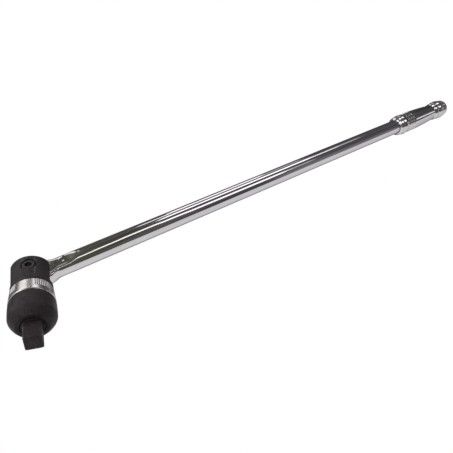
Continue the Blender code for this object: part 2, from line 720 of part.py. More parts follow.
def pawl(side, word, frame):
    """A pawl about its pin: the forward one is in mesh at rest, the reverse one lifted."""
    pin = Vector(polar(PAWL_PIN_AT, PAWL_PIN_ANGLE))
    outline = pawl_points(pin)
    if side < 0:
        swung = Matrix.Rotation(-PAWL_LIFT, 2)
        outline = [swung @ point for point in outline]
        outline = [Vector((point.x, -point.y)) for point in outline]
    name = word + "_pawl"
    at = (pin.x, side * pin.y, 0.0)
    made = place(name, prism_mesh(name, outline, PAWL_TOP, PAWL_END), hardened_steel(), frame, at)
    drill(made, "cut_bore_" + word, PAWL_PIN_R + 0.2 * MM, PAWL_TOP - MM, PAWL_END + MM, at[:2], sides=16)
    return made


def pawl_pin(side, word, frame):
    x, y = polar(PAWL_PIN_AT, side * PAWL_PIN_ANGLE)
    edge = 0.25 * MM
    top, end = 31.6 * MM, 42.7 * MM
    points = [(top, 0.0), (top, PAWL_PIN_R - edge), (top + edge, PAWL_PIN_R)]
    points += [(end - edge, PAWL_PIN_R), (end, PAWL_PIN_R - edge), (end, 0.0)]
    name = word + "_pawl_pin"
    return place(name, lathe_mesh(name, points, 16), bright_steel(), frame, (x, y, 0.0))


def pawl_spring(side, word, frame):
    """Torsion coil round the pin, between the stem and the pawl."""
    x, y = polar(PAWL_PIN_AT, side * PAWL_PIN_ANGLE)
    return coil(
        word + "_pawl_spring", spring_steel(), frame, 1.85 * MM, 0.18 * MM,
        34.2 * MM, 35.45 * MM, 2, (x, y, 0.0), (0.0, 0.0, 0.0),
    )


def bearings(frame):
    """Thrust washers above the gear and below the flange, the neck's bush and its seal."""
    upper = ring_plate_mesh("upper_thrust_washer", JOURNAL_R + 0.3 * MM, 8.4 * MM, 34.25 * MM, 0.5 * MM)
    lower = ring_plate_mesh("lower_thrust_washer", NECK_R + 0.3 * MM, 11.9 * MM, 44.4 * MM, 0.55 * MM)
    bush = ring_plate_mesh("drive_bush", NECK_R + 0.2 * MM, NECK_HOLE_R - 0.2 * MM, 45.2 * MM, 1.9 * MM)
    seal = ring_plate_mesh("neck_seal", NECK_R + 0.25 * MM, NECK_HOLE_R - 0.2 * MM, 47.3 * MM, 0.8 * MM)
    for mesh, material in ((upper, bronze()), (lower, bronze()), (bush, bronze()), (seal, black_rubber())):
        place(mesh.name, mesh, material, frame)


# ---------------------------------------------------------------- assembly

def build():
    clear_scene()
    drive_way = Vector((cos(-FLEX_REST), sin(-FLEX_REST), 0.0))
    hinge = -DRIVE_LENGTH * drive_way
    head_turn = Matrix((Vector((0, 0, 1)), drive_way.cross(Vector((0, 0, 1))), drive_way)).transposed()
    handle_turn = Matrix(((0, 0, 1), (0, -1, 0), (1, 0, 0))).transposed()
    head = frame_empty("head_frame", hinge, head_turn.to_euler())
    handle = frame_empty("handle_frame", hinge, handle_turn.to_euler())

    handle_bar(handle)
    grip_sleeve(handle)
    grip_end_plug(handle)

    clevis_body(head)
    pivot_screw(head)
    hinge_washers(head)
    reversing_ring(head)
    ring_detent(head)
    lower_housing(head)
    housing_snap_ring(head)
    drive_spindle(head)
    socket_detent(head)
    for side, word in ((1, "forward"), (-1, "reverse")):
        pawl(side, word, head)
        pawl_pin(side, word, head)
        pawl_spring(side, word, head)
    bearings(head)


build()
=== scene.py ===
"""Looks of the flex-head ratcheting breaker bar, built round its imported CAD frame."""
from math import cos, pi, radians, sin, sqrt

import bmesh
import bpy
from mathutils import Matrix, Vector


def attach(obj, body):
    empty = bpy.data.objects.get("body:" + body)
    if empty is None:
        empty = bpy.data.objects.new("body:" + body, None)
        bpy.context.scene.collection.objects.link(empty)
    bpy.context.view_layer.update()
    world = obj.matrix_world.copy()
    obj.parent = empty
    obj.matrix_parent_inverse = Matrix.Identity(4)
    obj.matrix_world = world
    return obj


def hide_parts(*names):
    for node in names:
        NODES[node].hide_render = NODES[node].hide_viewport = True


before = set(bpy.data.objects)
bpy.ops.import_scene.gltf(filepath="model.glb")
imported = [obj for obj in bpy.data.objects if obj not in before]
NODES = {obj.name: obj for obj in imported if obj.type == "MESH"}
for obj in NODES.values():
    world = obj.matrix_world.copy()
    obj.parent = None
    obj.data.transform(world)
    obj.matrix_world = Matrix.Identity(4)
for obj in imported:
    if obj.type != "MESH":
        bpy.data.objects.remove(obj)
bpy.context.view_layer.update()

MM = 0.001

# Places of the two halves, as the CAD has them
FLEX_REST = radians(112.0)
DRIVE_LENGTH = 64.0 * MM
DRIVE_WAY = Vector((cos(-FLEX_REST), sin(-FLEX_REST), 0.0))
HINGE = -DRIVE_LENGTH * DRIVE_WAY
UP = Vector((0.0, 0.0, 1.0))


def axes_matrix(x, y, z, origin):
    turn = Matrix((x, y, z)).transposed().to_4x4()
    return Matrix.Translation(origin) @ turn


HEAD = axes_matrix(UP, DRIVE_WAY.cross(UP), DRIVE_WAY, HINGE)
HANDLE = axes_matrix(UP, Vector((0.0, -1.0, 0.0)), Vector((1.0, 0.0, 0.0)), HINGE)
ACROSS = Matrix.Rotation(0.5 * pi, 4, "Y")


# ---------------------------------------------------------------- material nodes

class Shader:
    """A material under construction, with short ways to add and join its nodes."""

    def __init__(self, name):
        self.material = bpy.data.materials.new(name)
        self.material.use_nodes = True
        self.tree = self.material.node_tree
        self.bsdf = self.tree.nodes["Principled BSDF"]
        self.coords = self.tree.nodes.new("ShaderNodeTexCoord").outputs["Object"]

    def node(self, kind, links=None, **values):
        made = self.tree.nodes.new(kind)
        for key, value in values.items():
            setattr(made, key, value)
        for socket, source in (links or {}).items():
            if hasattr(source, "is_output"):
                self.tree.links.new(source, made.inputs[socket])
            else:
                made.inputs[socket].default_value = source
        return made

    def set(self, **values):
        for key, value in values.items():
            socket = self.bsdf.inputs[key.replace("_", " ")]
            if hasattr(value, "is_output"):
                self.tree.links.new(value, socket)
            else:
                socket.default_value = value

    def stretched(self, scale):
        return self.node("ShaderNodeMapping", {"Vector": self.coords, "Scale": scale}).outputs["Vector"]

    def noise(self, scale, detail=4.0, rough=0.55, vector=None):
        links = {"Vector": vector or self.coords, "Scale": scale, "Detail": detail, "Roughness": rough}
        return self.node("ShaderNodeTexNoise", links).outputs["Fac"]

    def ramp(self, source, low, high, start, stop):
        links = {"Value": source, "From Min": low, "From Max": high, "To Min": start, "To Max": stop}
        return self.node("ShaderNodeMapRange", links).outputs["Result"]

    def mix_color(self, factor, first, second):
        made = self.node("ShaderNodeMix", data_type="RGBA")
        for index, value in ((0, factor), (6, first), (7, second)):
            if hasattr(value, "is_output"):
                self.tree.links.new(value, made.inputs[index])
            else:
                made.inputs[index].default_value = value if index == 0 else (*value, 1.0)
        return made.outputs[2]

    def math(self, operation, first, second):
        made = self.node("ShaderNodeMath", operation=operation)
        for index, value in enumerate((first, second)):
            if hasattr(value, "is_output"):
                self.tree.links.new(value, made.inputs[index])
            else:
                made.inputs[index].default_value = value
        return made.outputs[0]

    def bump(self, height, strength, distance, normal=None):
        links = {"Height": height, "Strength": strength, "Distance": distance}
        if normal:
            links["Normal"] = normal
        return self.node("ShaderNodeBump", links).outputs["Normal"]

    def cavities(self):
        """Near 0 in corners, 0.5 on open surfaces, 1 on edges."""
        return self.node("ShaderNodeNewGeometry").outputs["Pointiness"]


def chrome(name, roughness=0.06, tint=(0.61, 0.6, 0.605), groove_shade=0.55):
    """Polished chrome plate with faint buffing lines, haze, handling marks and painted shade darkening its
    hollows and grooves.
    """
    m = Shader(name)
    haze = m.noise(55.0, 5.0, 0.6)
    smear = m.noise(16.0, 3.0, 0.5, m.stretched((1.0, 1.0, 0.25)))
    lines = m.noise(900.0, 2.0, 0.5, m.stretched((1.0, 1.0, 0.05)))
    specks = m.ramp(m.noise(1400.0, 2.0, 0.5), 0.7, 0.78, 0.0, 1.0)
    cloudy = m.math("MULTIPLY", haze, smear)
    rough = m.ramp(cloudy, 0.1, 0.42, roughness * 0.7, roughness * 1.7)
    m.set(Roughness=m.math("ADD", rough, m.math("MULTIPLY", specks, 0.06)))
    dim = tuple(part * 0.9 for part in tint)
    plate = m.mix_color(m.ramp(cloudy, 0.12, 0.4, 0.0, 1.0), tint, dim)
    # Painted shade: the base colour turns near-black in hollows and knurl grooves, patchy with the haze.
    corners = m.ramp(m.cavities(), 0.47, 0.42, 0.0, groove_shade)
    painted_shade = m.math("MULTIPLY", corners, m.ramp(haze, 0.3, 0.6, 0.7, 1.0))
    m.set(Base_Color=m.mix_color(painted_shade, plate, (0.05, 0.048, 0.045)))
    m.set(Metallic=1.0, Specular_Tint=(0.42, 0.42, 0.44, 1.0))
    fine = m.bump(lines, 0.04, 0.00001)
    m.set(Normal=m.bump(haze, 0.01, 0.0001, fine))
    return m.material


def black_phosphate(name, base=(0.026, 0.0225, 0.0245), roughness=0.58, grain=0.35):
    """Oiled black phosphate: crystalline grain, patchy oil film, a little bare steel on the edges."""
    m = Shader(name)
    patches = m.noise(160.0, 6.0, 0.65)
    mottle = m.noise(750.0, 4.0, 0.6)
    crystals = m.noise(2600.0, 3.0, 0.6)
    turning = m.noise(700.0, 3.0, 0.5, m.stretched((0.04, 0.04, 1.0)))
    worn = m.ramp(m.cavities(), 0.53, 0.62, 0.0, 1.0)
    rubbed = m.math("MULTIPLY", worn, m.ramp(m.noise(420.0, 4.0, 0.6), 0.4, 0.65, 0.15, 1.0))
    dark = tuple(part * 0.62 for part in base)
    light = (base[0] * 1.45, base[1] * 1.4, base[2] * 1.38)
    body = m.mix_color(m.ramp(patches, 0.36, 0.66, 0.0, 1.0), base, light)
    body = m.mix_color(m.ramp(mottle, 0.48, 0.64, 0.0, 0.9), body, dark)
    m.set(Base_Color=m.mix_color(m.math("MULTIPLY", rubbed, 0.4), body, (0.17, 0.16, 0.155)))
    m.set(Metallic=0.0, Specular_IOR_Level=0.2)
    film = m.ramp(patches, 0.3, 0.7, roughness + 0.08, roughness - 0.08)
    m.set(Roughness=m.math("SUBTRACT", film, m.math("MULTIPLY", rubbed, 0.12)))
    grainy = m.bump(crystals, grain, 0.00006)
    m.set(Normal=m.bump(turning, 0.1, 0.00006, grainy))
    return m.material


def steel(name, color, roughness=0.3, heat=0.0):
    """Ground or drawn steel, with heat tint where it has been hardened."""
    m = Shader(name)
    cloud = m.noise(260.0, 4.0, 0.6)
    grind = m.noise(1800.0, 3.0, 0.5, m.stretched((0.06, 1.0, 1.0)))
    dark = tuple(part * 0.75 for part in color)
    clear_below, clean = 0.35, color
    if heat:
        clear_below, clean = 0.3, m.mix_color(heat, color, (0.16, 0.11, 0.07))
    m.set(Base_Color=m.mix_color(m.ramp(cloud, clear_below, 0.7, 0.0, 1.0), clean, dark))
    m.set(Metallic=1.0, Roughness=m.ramp(grind, 0.2, 0.8, roughness * 0.8, roughness * 1.3))
    m.set(Normal=m.bump(grind, 0.12, 0.00003))
    return m.material


def sintered_bronze(name):
    """Bearing bronze with dark, rough pores."""
    m = Shader(name)
    pores = m.noise(1500.0, 4.0, 0.65)
    m.set(Base_Color=m.mix_color(m.ramp(pores, 0.35, 0.6, 0.0, 1.0), (0.18, 0.1, 0.04), (0.62, 0.42, 0.2)))
    m.set(Metallic=1.0, Roughness=m.ramp(pores, 0.3, 0.7, 0.55, 0.3))
    m.set(Normal=m.bump(pores, 0.3, 0.00004))
    return m.material


def nitrile(name):
    """Black seal rubber with a faint bloom."""
    m = Shader(name)
    bloom = m.noise(320.0, 5.0, 0.6)
    bloomed = m.ramp(bloom, 0.4, 0.7, 0.0, 1.0)
    m.set(Base_Color=m.mix_color(bloomed, (0.012, 0.012, 0.013), (0.03, 0.03, 0.03)))
    m.set(Roughness=m.ramp(bloom, 0.3, 0.7, 0.5, 0.75))
    m.set(Normal=m.bump(m.noise(1700.0, 3.0, 0.5), 0.15, 0.00004))
    return m.material


CHROME_BAR = chrome("bar_chrome_plate")
CHROME_RING = chrome("ring_chrome_plate", 0.24, (0.68, 0.66, 0.655), 0.85)
BLACK_CLEVIS = black_phosphate("clevis_phosphate")
BLACK_HOUSING = black_phosphate("housing_phosphate", (0.026, 0.0222, 0.0242), 0.56)
BLACK_DRIVE = black_phosphate("drive_phosphate", (0.025, 0.021, 0.0215), 0.62)
BLACK_SCREW = black_phosphate("screw_oxide", (0.038, 0.036, 0.038), 0.42, 0.12)
BRIGHT_STEEL = steel("bright_steel", (0.56, 0.56, 0.57), 0.22)
HARD_STEEL = steel("hardened_steel", (0.3, 0.29, 0.28), 0.33, 0.35)
SPRING_STEEL = steel("spring_steel_wire", (0.42, 0.42, 0.43), 0.25)
BRONZE = sintered_bronze("sintered_bronze")
NITRILE = nitrile("nitrile")


# ---------------------------------------------------------------- mesh tools

def polar(radius, angle):
    return (radius * cos(angle), radius * sin(angle))


def finished(bm, name, sharp=radians(35.0)):
    """Merge doubled points, turn the faces outward, and make a smooth mesh with sharp edges marked."""
    bmesh.ops.remove_doubles(bm, verts=bm.verts, dist=0.0005 * MM)
    bmesh.ops.recalc_face_normals(bm, faces=bm.faces)
    if bm.calc_volume(signed=True) < 0.0:
        bmesh.ops.reverse_faces(bm, faces=bm.faces)
    mesh = bpy.data.meshes.new(name)
    bm.to_mesh(mesh)
    bm.free()
    mesh.shade_smooth()
    mesh.set_sharp_from_angle(angle=sharp)
    return mesh


def skin(rows, name, ends=(None, None), sharp=radians(35.0)):
    """Join loops of points into a skin; each end closes on a pole or stays open."""
    bm = bmesh.new()
    verts = [[bm.verts.new(point) for point in row] for row in rows]
    for row, after in zip(verts, verts[1:]):
        count = len(row)
        for here in range(count):
            follow = (here + 1) % count
            bm.faces.new((row[here], row[follow], after[follow], after[here]))
    for row, end in ((verts[0], ends[0]), (verts[-1], ends[1])):
        if end is not None:
            pole = bm.verts.new(end)
            for here in range(len(row)):
                bm.faces.new((row[here], row[(here + 1) % len(row)], pole))
    return finished(bm, name, sharp)


def lathe(name, outline, sides=160, closed=False, sharp=radians(35.0)):
    """Turn (along, radius) points about local Z. An open outline is closed with poles on the axis."""
    angles = [2.0 * pi * step / sides for step in range(sides)]
    if closed:
        outline = outline + outline[:1]
    rows = [[(*polar(radius, angle), along) for angle in angles] for along, radius in outline]
    ends = (None, None) if closed else ((0, 0, outline[0][0]), (0, 0, outline[-1][0]))
    return skin(rows, name, ends, sharp)


def prism(name, outline, low, high):
    bm = bmesh.new()
    base = bm.faces.new([bm.verts.new((x, y, low)) for x, y in outline])
    top = bmesh.ops.extrude_face_region(bm, geom=[base])
    raised = [part for part in top["geom"] if isinstance(part, bmesh.types.BMVert)]
    bmesh.ops.translate(bm, verts=raised, vec=(0, 0, high - low))
    return finished(bm, name)


def sector(inner, outer, start, stop, steps=12):
    angles = [start + (stop - start) * step / steps for step in range(steps + 1)]
    return [polar(outer, angle) for angle in angles] + [polar(inner, angle) for angle in reversed(angles)]


def arc(middle_along, middle_radius, size, start, stop, steps=6):
    """Points on an arc in the outline's plane; 0 degrees points along, 90 outward."""
    points = []
    for step in range(steps + 1):
        angle = radians(start + (stop - start) * step / steps)
        points.append((middle_along + size * cos(angle), middle_radius + size * sin(angle)))
    return points


def smooth_curve(knots, steps=6):
    """Catmull-Rom through (along, radius) knots."""
    out = []
    padded = [knots[0], *knots, knots[-1]]
    for k in range(len(knots) - 1):
        a, b, c, d = (Vector(point) for point in padded[k:k + 4])
        for step in range(steps):
            t = step / steps
            square, cube = 2 * a - 5 * b + 4 * c - d, 3 * b - a - 3 * c + d
            out.append(tuple(0.5 * (2 * b + (c - a) * t + square * t * t + cube * t ** 3)))
    return out + [tuple(knots[-1])]


def thing(name, mesh, place=Matrix.Identity(4)):
    made = bpy.data.objects.new(name, mesh)
    bpy.context.scene.collection.objects.link(made)
    made.matrix_world = place
    return made


def carve(target, mesh, operation="DIFFERENCE", place=Matrix.Identity(4)):
    """Cut or join a mesh drawn in the target's own frame, and keep the result."""
    tool = thing("tool", mesh, target.matrix_world @ place)
    step = target.modifiers.new("carve", "BOOLEAN")
    step.operation, step.solver, step.object = operation, "EXACT", tool
    apply_modifiers(target)
    bpy.data.objects.remove(tool, do_unlink=True)
    return target


def apply_modifiers(target):
    bpy.context.view_layer.update()
    graph = bpy.context.evaluated_depsgraph_get()
    baked = bpy.data.meshes.new_from_object(target.evaluated_get(graph), depsgraph=graph)
    target.modifiers.clear()
    target.data = baked


def soften_edges(target, width, angle=38.0, segments=3):
    """Break the sharp edges that are left, the way tumbling does, then settle the normals."""
    step = target.modifiers.new("edges", "BEVEL")
    step.width, step.segments, step.limit_method = width, segments, "ANGLE"
    step.angle_limit, step.use_clamp_overlap, step.harden_normals = radians(angle), True, False
    apply_modifiers(target)
    target.data.shade_smooth()
    target.data.set_sharp_from_angle(angle=radians(40.0))
    normals = target.modifiers.new("normals", "WEIGHTED_NORMAL")
    normals.keep_sharp, normals.weight = True, 60
    return target


def dress(target, material, body, slot_name, *nodes):
    target.data.materials.clear()
    target.data.materials.append(material)
    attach(target, body)
    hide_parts(*nodes)
    return target


# ---------------------------------------------------------------- handle

BAR_R = 7.95 * MM
PADDLE_R = 10.5 * MM
TONGUE_HALF = 5.6 * MM
FLAT_END = 27.0 * MM
RUNOUT_R = 22.0 * MM
PADDLE_END = 11.5 * MM
PADDLE_BLEND = 21.5 * MM
BAR_END = 527.0 * MM
BAR_SIDES = 360
RIPPLE = 0.035 * MM           # left on the milled flats


def bar_round(along):
    """Radius of the forging before its flats are milled."""
    if along < 0.0:
        return sqrt(max(PADDLE_R ** 2 - along ** 2, 0.0))
    part = min(max((along - PADDLE_END) / (PADDLE_BLEND - PADDLE_END), 0.0), 1.0)
    return PADDLE_R + (BAR_R - PADDLE_R) * (0.5 - 0.5 * cos(pi * part))


def bar_flat(along):
    """Distance of the milled flat from the middle, which curves up where the cutter left."""
    run = max(along - FLAT_END, 0.0)
    if run >= RUNOUT_R * 0.95:
        return RUNOUT_R
    return TONGUE_HALF + RUNOUT_R - sqrt(RUNOUT_R ** 2 - run ** 2)


def bar_section(along, sides):
    """A round cut by two flats; the corner between them is well rounded at the hub and crisper beyond."""
    size, flat = bar_round(along), bar_flat(along)
    crisp = 8.0 + 10.0 * min(max((along - 4.0 * MM) / (14.0 * MM), 0.0), 1.0)
    row = []
    for step in range(sides):
        angle = 2.0 * pi * step / sides
        reach = max(abs(cos(angle)), 1e-4)
        waves = sin(along / (2.3 * MM) + 1.5 * sin(along / (3.1 * MM) + 3.0 * sin(angle)))
        middle = max(0.0, 1.0 - (sin(angle) / reach / 1.1) ** 2)
        milled = flat - (RIPPLE * waves * middle ** 2 if along < FLAT_END else 0.0)
        radius = (size ** -crisp + (milled / reach) ** -crisp) ** (-1.0 / crisp)
        row.append((*polar(radius, angle), along))
    return row


def make_bar():
    stations = [-PADDLE_R * cos(radians(angle)) for angle in range(3, 90, 3)]
    stations += [0.36 * MM * step for step in range(0, 116)]
    stations += [45.0 * MM + 12.0 * MM * step for step in range(40)]
    stations += [BAR_END - 0.8 * MM, BAR_END]
    rows = [bar_section(along, BAR_SIDES) for along in stations]
    rows[-1] = [(x * 0.9, y * 0.9, z) for x, y, z in rows[-1]]
    mesh = skin(rows, "bar", ((0, 0, -PADDLE_R), (0, 0, BAR_END)), radians(30.0))
    bar = thing("bar_with_tongue", mesh, HANDLE)
    bore = lathe("bore", [(-12 * MM, 4.25 * MM), (12 * MM, 4.25 * MM)], 96)
    carve(bar, bore, place=ACROSS)
    bar.data.shade_smooth()
    bar.data.set_sharp_from_angle(angle=radians(30.0))
    return dress(bar, CHROME_BAR, "handle", "bar_chrome", "handle_bar")


# Grip; lengths are in millimetres
GRIP_START = 447.5
GRIP_END = 540.5
GRIP_TIP = 546.0
GRIP_BORE = 8.2
BODY_R = 11.2
BODY_GROOVES = (463.0, 467.6, 472.2)
TAPER_START = 474.5
TAPER_END = 516.0
WAIST_R = 9.0
KNOB_GROOVES = (534.0, 536.4, 538.7)
END_R = 9.5


def grip_groove(middle, surface, half=1.15, depth=0.55):
    """A rounded groove with soft lips, in millimetres."""
    return [
        (middle - half, surface), (middle - 0.72 * half, surface - 0.06),
        (middle - 0.45 * half, surface - 0.6 * depth), (middle, surface - depth),
        (middle + 0.45 * half, surface - 0.6 * depth), (middle + 0.72 * half, surface - 0.06),
        (middle + half, surface),
    ]


def grip_profile():
    """Outline of the turned grip in millimetres: collar, bead, grooves, taper, waist, flare, knob."""
    shoulder = [(GRIP_START, 8.5), (GRIP_START + 0.15, 8.75), (448.1, 9.3), (448.7, 9.88), (449.2, 10.36)]
    collar = [(449.6, 10.56), (450.2, 10.66), (451.0, 10.79), (452.2, 10.98), (452.7, 11.0), (453.1, 10.8)]
    bead = [(453.5, 10.66), (453.9, 10.8), (454.3, 11.0), (455.0, 11.16), (456.0, 11.35), (456.9, 11.51)]
    bead += [(457.5, 11.56), (458.3, 11.5), (459.1, 11.3), (459.8, BODY_R), (460.8, BODY_R)]
    head = shoulder + collar + bead
    for middle in BODY_GROOVES:
        head += grip_groove(middle, BODY_R)
    taper = []
    for step in range(13):
        part = step / 12.0
        along = TAPER_START + (TAPER_END - TAPER_START) * part
        taper.append((along, BODY_R - (BODY_R - WAIST_R) * part ** 1.7))
    flare = [(517.6, 9.06), (518.4, 9.25), (519.6, 9.62), (521.0, 9.98), (521.8, 10.1), (522.6, 10.05)]
    flare += [(523.4, 9.8), (524.4, 9.7)]
    knob = [(525.2, 9.9), (525.9, 10.25), (526.6, 10.42), (527.8, 10.61), (529.2, 10.84), (530.4, 10.95)]
    knob += [(531.4, 10.93), (532.4, 10.86)]
    tail = flare + knob
    for middle in KNOB_GROOVES:
        tail += grip_groove(middle, 10.8 - 0.167 * (middle - 532.7), 0.85, 0.42)
    tail += [(539.9, 9.68), (540.3, 9.6), (GRIP_END, END_R)]
    return smooth_curve(head, 3) + smooth_curve(taper, 3) + smooth_curve(tail, 3)


def make_grip():
    outline = [(along * MM, radius * MM) for along, radius in grip_profile()]
    outline = [(GRIP_START * MM, GRIP_BORE * MM)] + outline + [(GRIP_END * MM, GRIP_BORE * MM)]
    sleeve = thing("grip_sleeve_turned", lathe("sleeve", outline, 160, closed=True), HANDLE)
    dress(sleeve, CHROME_BAR, "handle", "grip_chrome", "grip_sleeve")
    rim = GRIP_END + 0.2
    dome = [(529.0 * MM, 8.0 * MM), (rim * MM, 8.0 * MM)]
    for step in range(13):
        angle = radians(90.0 * step / 12.0)
        bulge = END_R * max(cos(angle), 0.0) ** 0.8
        dome.append(((rim + (GRIP_TIP - rim) * sin(angle)) * MM, bulge * MM))
    plug = thing("grip_end_cap", lathe("plug", dome[:-1] + [(GRIP_TIP * MM, 0.0002 * MM)], 128), HANDLE)
    dress(plug, CHROME_BAR, "handle", "plug_chrome", "grip_end_plug")


# ---------------------------------------------------------------- clevis and hinge

CLEVIS_R = 15.5 * MM
CLEVIS_TOP = -10.0 * MM
CLEVIS_END = 15.5 * MM
SLOT_HALF = 6.7 * MM
SLOT_FLOOR = 11.5 * MM
STEM_R = 13.4 * MM
STEM_END = 34.0 * MM
STEM_GROOVE = (29.4 * MM, 31.0 * MM, 12.4 * MM)
SCREW_HEAD_R = 4.85 * MM
SCREW_SHANK_R = 4.0 * MM
SCREW_THREAD_R = 3.4 * MM


def make_clevis():
    crown = 1.8 * MM
    outline = [(CLEVIS_TOP, 1.0 * MM), (CLEVIS_TOP, CLEVIS_R - crown)]
    outline += arc(CLEVIS_TOP + crown, CLEVIS_R - crown, crown, 180.0, 90.0, 8)[1:]
    outline += [(CLEVIS_END - 0.3 * MM, CLEVIS_R), (CLEVIS_END, CLEVIS_R - 0.3 * MM), (CLEVIS_END, STEM_R)]
    groove_start, groove_end, groove_r = STEM_GROOVE
    outline += [(groove_start, STEM_R), (groove_start, groove_r)]
    outline += [(groove_end, groove_r), (groove_end, STEM_R)]
    outline += [(STEM_END, STEM_R), (STEM_END, 1.0 * MM)]
    body = thing("clevis_forging", lathe("clevis", outline, 144), HEAD)
    reach = 30.0 * MM
    slot = prism("slot", [(-SLOT_HALF, -reach), (SLOT_HALF, -reach), (SLOT_HALF, reach), (-SLOT_HALF, reach)],
                 CLEVIS_TOP - reach, SLOT_FLOOR)
    carve(body, slot)
    counterbore = [(12.2 * MM, 5.6 * MM), (reach, 5.6 * MM)]
    shank = [(0.0, 4.2 * MM), (13.0 * MM, 4.2 * MM)]
    thread = [(-reach, 3.6 * MM), (0.0, 3.6 * MM)]
    for outline in (counterbore, shank, thread):
        carve(body, lathe("hole", outline, 64), place=ACROSS)
    carve(body, lathe("journal", [(24.6 * MM, 5.2 * MM), (40.0 * MM, 5.2 * MM)], 64))
    half = radians(22.5)
    carve(body, prism("way", sector(10.7 * MM, 20.0 * MM, -half, half), 19.0 * MM, 36.0 * MM))
    soften_edges(body, 0.45 * MM, 50.0, 4)
    return dress(body, BLACK_CLEVIS, "head", "clevis_black", "clevis_body")


def hexagon(flats):
    corner = 0.5 * flats / cos(pi / 6.0)
    return [polar(corner, pi / 3.0 * step) for step in range(6)]


def make_screw():
    outline = [(-14.9 * MM, 3.0 * MM), (-14.5 * MM, SCREW_THREAD_R), (-6.55 * MM, SCREW_THREAD_R)]
    outline += [(-6.55 * MM, SCREW_SHANK_R), (12.35 * MM, SCREW_SHANK_R), (12.35 * MM, SCREW_HEAD_R)]
    outline += [(14.3 * MM, SCREW_HEAD_R), (14.5 * MM, 4.78 * MM), (14.95 * MM, 4.4 * MM)]
    outline += [(15.1 * MM, 4.15 * MM), (15.1 * MM, 3.3 * MM)]
    outline += [(14.95 * MM, 3.05 * MM), (14.95 * MM, 1.0 * MM)]
    screw = thing("hinge_socket_screw", lathe("screw", outline, 96), HEAD @ ACROSS)
    carve(screw, prism("hex", hexagon(5.0 * MM), 12.5 * MM, 17.0 * MM))
    soften_edges(screw, 0.12 * MM, 40.0, 2)
    dress(screw, BLACK_SCREW, "head", "screw_black", "pivot_screw")


def washer(name, inner, outer, low, thick, material, slot_name, node, place, wave=0.0):
    """A flat or waved washer with broken edges."""
    edge = 0.25 * min(thick, 1.0 * MM)
    loop = [(inner + edge, low), (outer - edge, low), (outer, low + edge), (outer, low + thick - edge)]
    loop += [(outer - edge, low + thick), (inner + edge, low + thick)]
    loop += [(inner, low + thick - edge), (inner, low + edge)]
    rows = []
    sides = 96
    for step in range(sides + 1):
        angle = 2.0 * pi * (step % sides) / sides
        lift = wave * cos(3.0 * angle)
        rows.append([(*polar(radius, angle), height + lift) for radius, height in loop])
    made = thing(name, skin(rows, name), place)
    return dress(made, material, "head", slot_name, node)


def make_hinge_washers():
    across = HEAD @ ACROSS
    washer("hinge_wave_spring", 4.3 * MM, 9.0 * MM, 5.97 * MM, 0.36 * MM, BRIGHT_STEEL, "spring",
           "hinge_wave_washer", across, 0.14 * MM)
    washer("hinge_shim", 4.3 * MM, 9.0 * MM, -6.45 * MM, 0.6 * MM, BRIGHT_STEEL, "washer_steel",
           "hinge_flat_washer", across)


# ---------------------------------------------------------------- reversing ring

# Ring; lengths are in millimetres
RING_TOP = 15.8
RING_BOTTOM = 27.9
RING_BORE = 13.7
RING_TRAVEL = radians(24.0)
FINGER_HALF = radians(9.0)
PADS = 3
TEETH_PER_PAD = 13
PAD_ANGLE = radians(70.0)
PAD_START = radians(35.0)
KNURL_END = 23.3
KNURL_DEPTH = 0.36
DETENT_AT = 22.0


def ring_outside(along):
    """Outer radius of the ring's cone, in millimetres."""
    return 15.7 + (17.0 - 15.7) * (along - RING_TOP) / (RING_BOTTOM - RING_TOP)


def serration(turned):
    """Depth of the knurl, 0 to 1, at an angle from a pad's first edge."""
    if turned > PAD_ANGLE:
        return 0.0
    tooth = turned / PAD_ANGLE * TEETH_PER_PAD % 1.0
    return max(0.0, min(1.0, 1.9 * (1.0 - abs(2.0 * tooth - 1.0)) - 0.5))


def ring_angles():
    """Angles round the ring: ten to a tooth on the pads, wider on the lands."""
    period = 2.0 * pi / PADS
    pad_steps = 10 * TEETH_PER_PAD
    around = []
    for pad in range(PADS):
        start = PAD_START + pad * period
        around += [(start + PAD_ANGLE * step / pad_steps, serration(PAD_ANGLE * step / pad_steps))
                   for step in range(pad_steps)]
        around += [(start + PAD_ANGLE + (period - PAD_ANGLE) * step / 48.0, 0.0) for step in range(48)]
    return around


